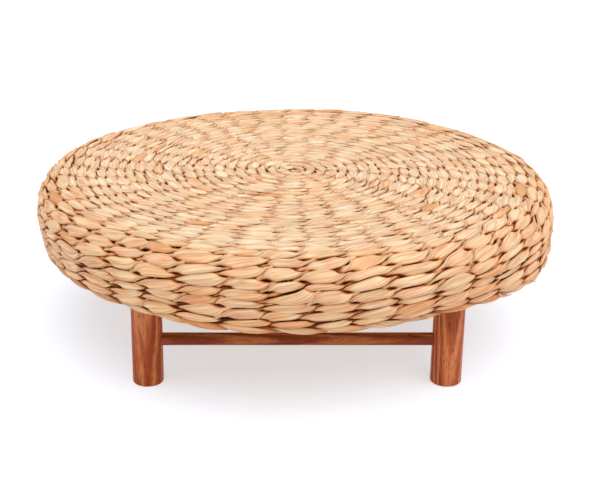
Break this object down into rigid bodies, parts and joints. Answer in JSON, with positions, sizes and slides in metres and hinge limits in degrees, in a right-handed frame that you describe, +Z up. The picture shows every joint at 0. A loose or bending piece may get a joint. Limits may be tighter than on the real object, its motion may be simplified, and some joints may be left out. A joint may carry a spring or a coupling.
{
  "type": "low round stool",
  "caption": "Low round stool: a flat drum seat of spirally twined dried reed on straight round wooden legs tied by round stretchers.",
  "frame": {"origin": "on the floor, under the middle of the round seat", "axes": "+Z up from the feet to the seat; -Y towards the front in the picture, +X to its right"},
  "size_m": [0.5998, 0.6, 0.194],
  "materials": {
    "leg_wood": "red-brown stained hardwood, satin",
    "batten_wood": "planed pale hardwood, unfinished",
    "plywood": "plywood, sanded",
    "straw": "stuffed straw",
    "stake_reed": "dried split reed, raw",
    "border_reed": "rolled dried reed, raw",
    "woven_reed": "flat dried reed, twined, raw",
    "steel": "zinc-plated steel"
  },
  "bodies": {
    "root": {"leg_front_left": "leg_wood", "leg_front_right": "leg_wood", "leg_rear_left": "leg_wood", "leg_rear_right": "leg_wood", "stretcher_front": "leg_wood", "stretcher_rear": "leg_wood", "stretcher_left": "leg_wood", "stretcher_right": "leg_wood", "batten_left": "batten_wood", "batten_right": "batten_wood", "leg_wedge_front_left": "batten_wood", "leg_wedge_front_right": "batten_wood", "leg_wedge_rear_left": "batten_wood", "leg_wedge_rear_right": "batten_wood", "board_screw_1": "steel", "board_screw_2": "steel", "board_screw_3": "steel", "board_screw_4": "steel", "board_screw_5": "steel", "board_screw_6": "steel", "board_screw_7": "steel", "board_screw_8": "steel", "seat_board": "plywood", "straw_pad": "straw", "stake_set_01": "stake_reed", "stake_set_02": "stake_reed", "stake_set_03": "stake_reed", "stake_set_04": "stake_reed", "stake_set_05": "stake_reed", "stake_set_06": "stake_reed", "stake_set_07": "stake_reed", "stake_set_08": "stake_reed", "stake_set_09": "stake_reed", "stake_set_10": "stake_reed", "stake_set_11": "stake_reed", "stake_set_12": "stake_reed", "stake_set_13": "stake_reed", "stake_set_14": "stake_reed", "tail_strip": "stake_reed", "strip_tack_01": "steel", "strip_tack_02": "steel", "strip_tack_03": "steel", "strip_tack_04": "steel", "strip_tack_05": "steel", "strip_tack_06": "steel", "strip_tack_07": "steel", "strip_tack_08": "steel", "strip_tack_09": "steel", "strip_tack_10": "steel", "strip_tack_11": "steel", "strip_tack_12": "steel", "strip_tack_13": "steel", "strip_tack_14": "steel", "top_weave": "woven_reed", "side_weave": "woven_reed", "bottom_border": "border_reed"}
  },
  "joints": []
}
